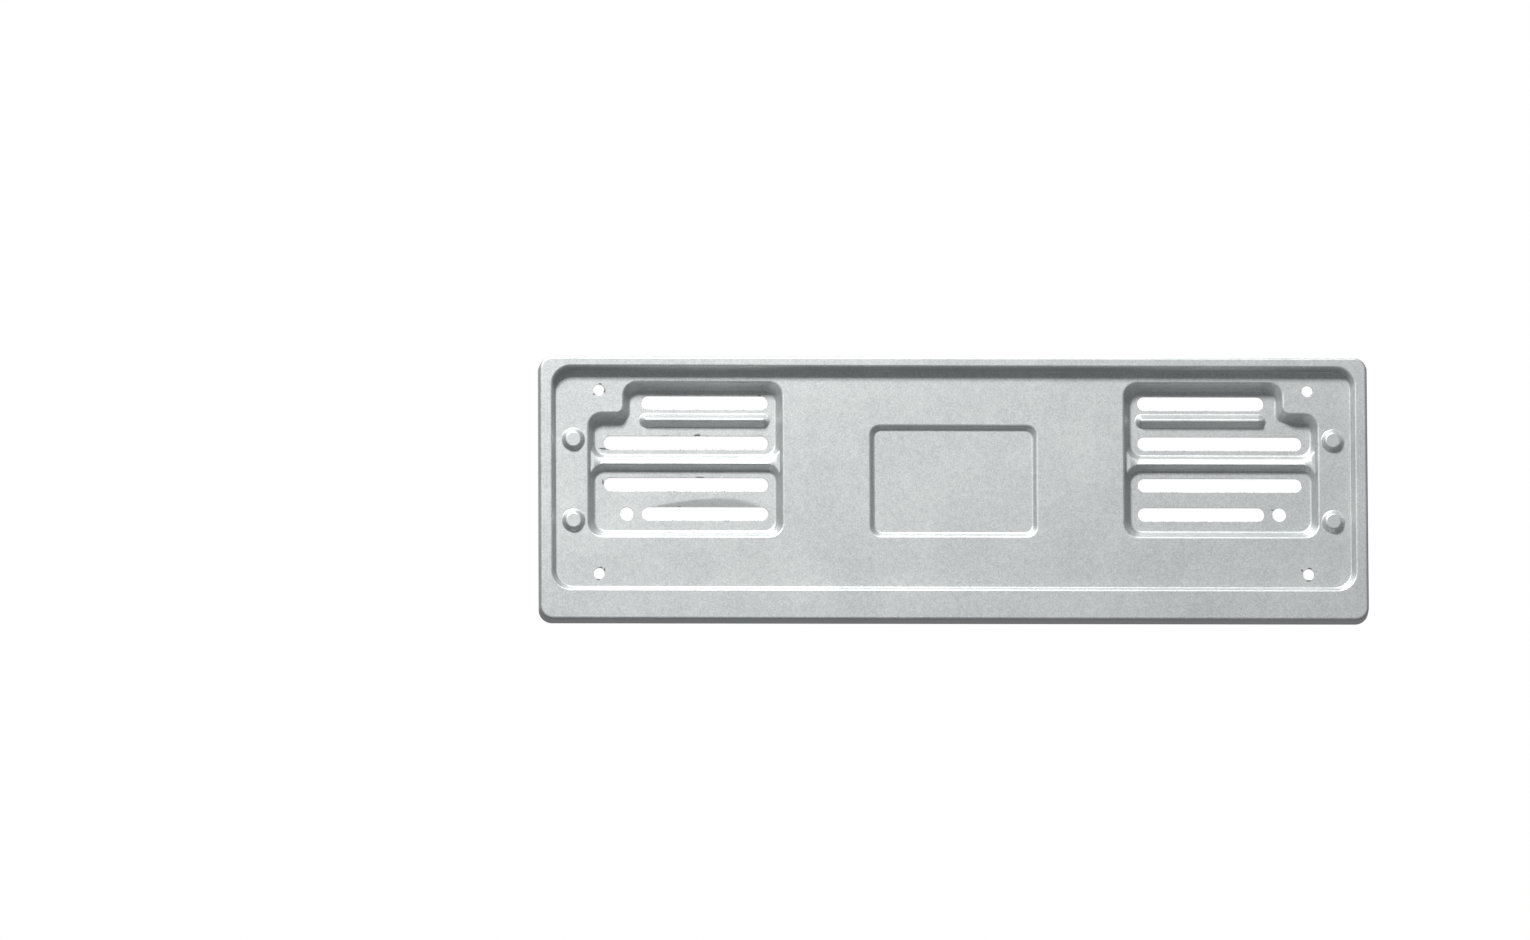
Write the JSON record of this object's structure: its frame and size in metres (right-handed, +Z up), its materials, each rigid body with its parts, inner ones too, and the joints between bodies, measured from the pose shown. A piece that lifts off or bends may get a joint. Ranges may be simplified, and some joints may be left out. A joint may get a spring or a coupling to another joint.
{
  "type": "number plate holder",
  "caption": "Shallow pressed-metal tray that holds a front number plate, with slotted pockets for the car's bolts, corner screw holes, raised ribs and small bosses",
  "frame": {"origin": "middle of the four long slots, on the face that lies against the vehicle", "axes": "+X along the plate to the viewer's right, +Y into the vehicle, +Z up"},
  "size_m": [0.372, 0.0113, 0.12],
  "materials": {
    "silver_paint": "satin silver metallic paint with a fine grain"
  },
  "bodies": {
    "root": {"holder_pressing": "silver_paint"}
  },
  "joints": []
}
